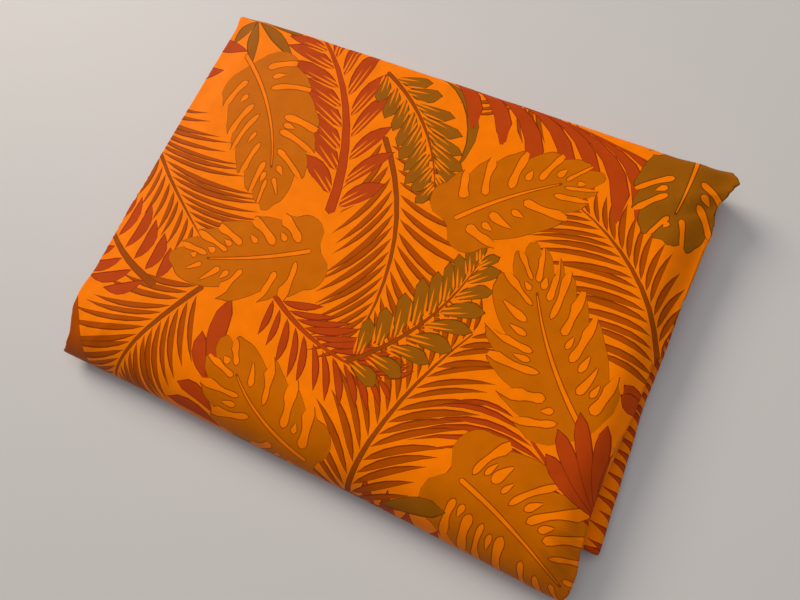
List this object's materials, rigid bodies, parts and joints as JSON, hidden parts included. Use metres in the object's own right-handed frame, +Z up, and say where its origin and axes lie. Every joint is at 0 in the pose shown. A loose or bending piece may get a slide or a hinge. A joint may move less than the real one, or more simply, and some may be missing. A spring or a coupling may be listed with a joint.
{
  "type": "folded length of printed silk fabric",
  "caption": "Length of thin printed silk, folded to a strip and wound flat into a soft rectangular pad with a rolled front edge.",
  "frame": {"origin": "centre of the bounding box at its bottom face, on the surface that the pad lies on", "axes": "+X along the long side, towards the end where the lower fold sticks out; +Y from the rolled front edge to the tighter back fold; +Z up"},
  "size_m": [0.364, 0.2734, 0.0361],
  "materials": {
    "silk": "smooth fine plain-weave silk with a low sheen, printed with leaves in ochre, rust, brown and olive on an orange ground",
    "silk_second": "the same printed silk, seen at the edge of the second turn",
    "silk_lower": "the same printed silk, on the lower fold at the right end",
    "silk_hidden": "the same printed silk, in the layered edges at both ends"
  },
  "bodies": {
    "root": {"outer_turn": "silk", "second_turn": "silk_second", "lower_fold": "silk_lower", "inner_layers": "silk_hidden"}
  },
  "joints": []
}
